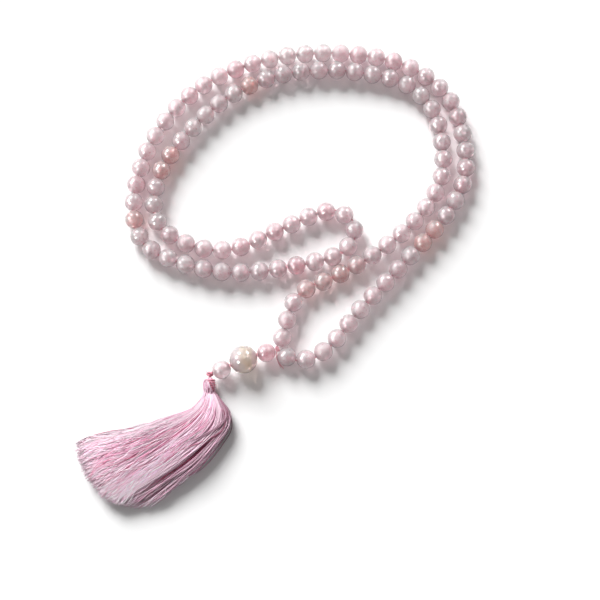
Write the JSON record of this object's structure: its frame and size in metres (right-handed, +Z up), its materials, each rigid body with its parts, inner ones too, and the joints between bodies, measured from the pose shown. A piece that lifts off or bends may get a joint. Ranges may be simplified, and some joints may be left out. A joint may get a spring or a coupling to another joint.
{
  "type": "mala prayer beads",
  "caption": "Long string of round rose quartz prayer beads on a knotted cord, with a larger guru bead between two spacers and a silk tassel.",
  "frame": {"origin": "centre of the footprint on the table the beads lie on", "axes": "+Z up from the table; +Y along the longer side of the layout, from the tassel towards the far side of the ring; +X across it, the tassel towards -X and -Y"},
  "size_m": [0.1718, 0.2076, 0.012],
  "materials": {
    "rose_quartz": "polished, translucent, cloudy",
    "guru": "polished, milky",
    "cord": "twisted thread",
    "tassel": "silky loose threads"
  },
  "bodies": {
    "ring": {"cord_inner_strand": "cord", "cord_outer_strand": "cord", "inner_beads_7_to_15": "rose_quartz", "inner_beads_16_to_24": "rose_quartz", "inner_beads_25_to_33": "rose_quartz", "inner_beads_34_to_42": "rose_quartz", "outer_beads_60_to_67": "rose_quartz", "outer_beads_68_to_74": "rose_quartz", "outer_beads_75_to_81": "rose_quartz", "outer_beads_82_to_88": "rose_quartz", "outer_beads_89_to_95": "rose_quartz", "outer_beads_96_to_102": "rose_quartz"},
    "fold_1": {"cord_fold_1_inner": "cord", "cord_fold_1_outer": "cord"},
    "fold_2": {"cord_fold_2_inner": "cord", "cord_fold_2_outer": "cord"},
    "fold_tip": {"cord_fold_tip": "cord"},
    "tail_end": {"cord_tail_end_inner": "cord", "cord_tail_end_outer": "cord", "junction_knot": "cord"},
    "inner_spacer_link": {"cord_inner_spacer_bead": "cord"},
    "guru_link": {"cord_guru_bead": "cord"},
    "outer_spacer_link": {"cord_outer_spacer_bead": "cord"},
    "tassel_hanger": {"tassel_knot": "cord"},
    "tassel": {"tassel_binding": "cord", "tassel_skirt": "tassel"},
    "inner_spacer": {"inner_spacer_bead": "rose_quartz"},
    "guru": {"guru_bead": "guru"},
    "outer_spacer": {"outer_spacer_bead": "rose_quartz"},
    "bead_001": {"bead_001": "rose_quartz"},
    "bead_002": {"bead_002": "rose_quartz"},
    "bead_003": {"bead_003": "rose_quartz"},
    "bead_004": {"bead_004": "rose_quartz"},
    "bead_005": {"bead_005": "rose_quartz"},
    "bead_006": {"bead_006": "rose_quartz"},
    "bead_043": {"bead_043": "rose_quartz"},
    "bead_044": {"bead_044": "rose_quartz"},
    "bead_045": {"bead_045": "rose_quartz"},
    "bead_046": {"bead_046": "rose_quartz"},
    "bead_047": {"bead_047": "rose_quartz"},
    "bead_048": {"bead_048": "rose_quartz"},
    "bead_049": {"bead_049": "rose_quartz"},
    "bead_050": {"bead_050": "rose_quartz"},
    "bead_051": {"bead_051": "rose_quartz"},
    "bead_052": {"bead_052": "rose_quartz"},
    "bead_053": {"bead_053": "rose_quartz"},
    "bead_054": {"bead_054": "rose_quartz"},
    "bead_055": {"bead_055": "rose_quartz"},
    "bead_056": {"bead_056": "rose_quartz"},
    "bead_057": {"bead_057": "rose_quartz"},
    "bead_058": {"bead_058": "rose_quartz"},
    "bead_059": {"bead_059": "rose_quartz"},
    "bead_103": {"bead_103": "rose_quartz"},
    "bead_104": {"bead_104": "rose_quartz"},
    "bead_105": {"bead_105": "rose_quartz"},
    "bead_106": {"bead_106": "rose_quartz"},
    "bead_107": {"bead_107": "rose_quartz"},
    "bead_108": {"bead_108": "rose_quartz"}
  },
  "joints": [
    {"name": "fold_lift_1", "type": "hinge", "parent": "ring", "child": "fold_1", "pos_m": [-0.03039, 0.00105, 0.004], "axis": [0.001, -1, 0], "range_deg": [0, 20]},
    {"name": "fold_lift_2", "type": "hinge", "parent": "fold_1", "child": "fold_2", "pos_m": [-0.00646, 0.00449, 0.004], "axis": [0.0738, -0.9973, 0], "range_deg": [0, 20]},
    {"name": "fold_lift_3", "type": "hinge", "parent": "fold_2", "child": "fold_tip", "pos_m": [0.01677, 0.01208, 0.004], "axis": [0.1385, -0.9904, 0], "range_deg": [0, 20]},
    {"name": "tail_end_lift", "type": "hinge", "parent": "ring", "child": "tail_end", "pos_m": [0.03276, -0.01043, 0.004], "axis": [-0.4565, 0.8897, 0], "range_deg": [0, 20]},
    {"name": "tail_swing", "type": "hinge", "parent": "tail_end", "child": "inner_spacer_link", "pos_m": [-0.00193, -0.03835, 0.004], "axis": [0, 0, 1], "range_deg": [-20, 8]},
    {"name": "guru_swing", "type": "hinge", "parent": "inner_spacer_link", "child": "guru_link", "pos_m": [-0.01044, -0.0413, 0.00573], "axis": [0, 0, -1], "range_deg": [-20, 20]},
    {"name": "outer_spacer_swing", "type": "hinge", "parent": "guru_link", "child": "outer_spacer_link", "pos_m": [-0.02201, -0.04577, 0.00572], "axis": [0, 0, 1], "range_deg": [-20, 20]},
    {"name": "tassel_swing", "type": "hinge", "parent": "outer_spacer_link", "child": "tassel_hanger", "pos_m": [-0.03053, -0.04915, 0.004], "axis": [0, 0, 1], "range_deg": [-50, 0]},
    {"name": "tassel_lift", "type": "hinge", "parent": "tassel_hanger", "child": "tassel", "pos_m": [-0.03053, -0.04915, 0.004], "axis": [-0.7317, 0.6816, 0], "range_deg": [0, 45]},
    {"name": "inner_spacer_spin", "type": "hinge", "parent": "inner_spacer_link", "child": "inner_spacer", "pos_m": [-0.00663, -0.04015, 0.0051], "axis": [-0.9386, -0.3194, 0.1304], "continuous": true},
    {"name": "guru_spin", "type": "hinge", "parent": "guru_link", "child": "guru", "pos_m": [-0.01633, -0.04325, 0.006], "axis": [-0.9335, -0.3587, 0], "continuous": true},
    {"name": "outer_spacer_spin", "type": "hinge", "parent": "outer_spacer_link", "child": "outer_spacer", "pos_m": [-0.02563, -0.04745, 0.0051], "axis": [-0.9157, -0.3805, -0.129], "continuous": true},
    {"name": "bead_001_spin", "type": "hinge", "parent": "tail_end", "child": "bead_001", "pos_m": [0.00013, -0.03347, 0.004], "axis": [0.31, 0.9507, 0], "continuous": true},
    {"name": "bead_002_spin", "type": "hinge", "parent": "tail_end", "child": "bead_002", "pos_m": [0.00224, -0.02555, 0.004], "axis": [0.2916, 0.9565, 0], "continuous": true},
    {"name": "bead_003_spin", "type": "hinge", "parent": "tail_end", "child": "bead_003", "pos_m": [0.0049, -0.01781, 0.004], "axis": [0.513, 0.8584, 0], "continuous": true},
    {"name": "bead_004_spin", "type": "hinge", "parent": "tail_end", "child": "bead_004", "pos_m": [0.01047, -0.0118, 0.004], "axis": [0.8097, 0.5869, 0], "continuous": true},
    {"name": "bead_005_spin", "type": "hinge", "parent": "tail_end", "child": "bead_005", "pos_m": [0.01791, -0.00838, 0.004], "axis": [0.9085, 0.418, 0], "continuous": true},
    {"name": "bead_006_spin", "type": "hinge", "parent": "tail_end", "child": "bead_006", "pos_m": [0.02535, -0.00495, 0.004], "axis": [0.8902, 0.4555, 0], "continuous": true},
    {"name": "bead_043_spin", "type": "hinge", "parent": "fold_1", "child": "bead_043", "pos_m": [-0.02628, 0.0058, 0.004], "axis": [0.9991, 0.0431, 0], "continuous": true},
    {"name": "bead_044_spin", "type": "hinge", "parent": "fold_1", "child": "bead_044", "pos_m": [-0.01822, 0.00725, 0.004], "axis": [0.9573, 0.2891, 0], "continuous": true},
    {"name": "bead_045_spin", "type": "hinge", "parent": "fold_1", "child": "bead_045", "pos_m": [-0.0107, 0.01051, 0.004], "axis": [0.905, 0.4255, 0], "continuous": true},
    {"name": "bead_046_spin", "type": "hinge", "parent": "fold_2", "child": "bead_046", "pos_m": [-0.0034, 0.01422, 0.004], "axis": [0.8997, 0.4364, 0], "continuous": true},
    {"name": "bead_047_spin", "type": "hinge", "parent": "fold_2", "child": "bead_047", "pos_m": [0.00403, 0.01765, 0.004], "axis": [0.9083, 0.4184, 0], "continuous": true},
    {"name": "bead_048_spin", "type": "hinge", "parent": "fold_2", "child": "bead_048", "pos_m": [0.01147, 0.02107, 0.004], "axis": [0.9339, 0.3575, 0], "continuous": true},
    {"name": "bead_049_spin", "type": "hinge", "parent": "fold_tip", "child": "bead_049", "pos_m": [0.0193, 0.0235, 0.004], "axis": [0.9979, 0.0649, 0], "continuous": true},
    {"name": "bead_050_spin", "type": "hinge", "parent": "fold_tip", "child": "bead_050", "pos_m": [0.02737, 0.0221, 0.004], "axis": [0.8256, -0.5642, 0], "continuous": true},
    {"name": "bead_051_spin", "type": "hinge", "parent": "fold_tip", "child": "bead_051", "pos_m": [0.0316, 0.01509, 0.004], "axis": [0.1033, -0.9947, 0], "continuous": true},
    {"name": "bead_052_spin", "type": "hinge", "parent": "fold_tip", "child": "bead_052", "pos_m": [0.0289, 0.00736, 0.004], "axis": [-0.6133, -0.7899, 0], "continuous": true},
    {"name": "bead_053_spin", "type": "hinge", "parent": "fold_tip", "child": "bead_053", "pos_m": [0.02208, 0.00283, 0.004], "axis": [-0.9056, -0.4242, 0], "continuous": true},
    {"name": "bead_054_spin", "type": "hinge", "parent": "fold_2", "child": "bead_054", "pos_m": [0.01423, 0.00049, 0.004], "axis": [-0.9686, -0.2485, 0], "continuous": true},
    {"name": "bead_055_spin", "type": "hinge", "parent": "fold_2", "child": "bead_055", "pos_m": [0.00622, -0.00124, 0.004], "axis": [-0.9808, -0.195, 0], "continuous": true},
    {"name": "bead_056_spin", "type": "hinge", "parent": "fold_2", "child": "bead_056", "pos_m": [-0.00184, -0.00271, 0.004], "axis": [-0.9876, -0.1572, 0], "continuous": true},
    {"name": "bead_057_spin", "type": "hinge", "parent": "fold_1", "child": "bead_057", "pos_m": [-0.00995, -0.00381, 0.004], "axis": [-0.9947, -0.1027, 0], "continuous": true},
    {"name": "bead_058_spin", "type": "hinge", "parent": "fold_1", "child": "bead_058", "pos_m": [-0.01812, -0.00439, 0.004], "axis": [-0.9999, -0.0147, 0], "continuous": true},
    {"name": "bead_059_spin", "type": "hinge", "parent": "fold_1", "child": "bead_059", "pos_m": [-0.02631, -0.00405, 0.004], "axis": [-0.9952, 0.0984, 0], "continuous": true},
    {"name": "bead_103_spin", "type": "hinge", "parent": "tail_end", "child": "bead_103", "pos_m": [0.03386, -0.0209, 0.004], "axis": [-0.6493, -0.7605, 0], "continuous": true},
    {"name": "bead_104_spin", "type": "hinge", "parent": "tail_end", "child": "bead_104", "pos_m": [0.02872, -0.02728, 0.004], "axis": [-0.6259, -0.7799, 0], "continuous": true},
    {"name": "bead_105_spin", "type": "hinge", "parent": "tail_end", "child": "bead_105", "pos_m": [0.02361, -0.03368, 0.004], "axis": [-0.6705, -0.7419, 0], "continuous": true},
    {"name": "bead_106_spin", "type": "hinge", "parent": "tail_end", "child": "bead_106", "pos_m": [0.01776, -0.03941, 0.004], "axis": [-0.8237, -0.5671, 0], "continuous": true},
    {"name": "bead_107_spin", "type": "hinge", "parent": "tail_end", "child": "bead_107", "pos_m": [0.01031, -0.04283, 0.004], "axis": [-0.9896, -0.1436, 0], "continuous": true},
    {"name": "bead_108_spin", "type": "hinge", "parent": "tail_end", "child": "bead_108", "pos_m": [0.00221, -0.04167, 0.004], "axis": [-0.9392, 0.3433, 0], "continuous": true}
  ]
}
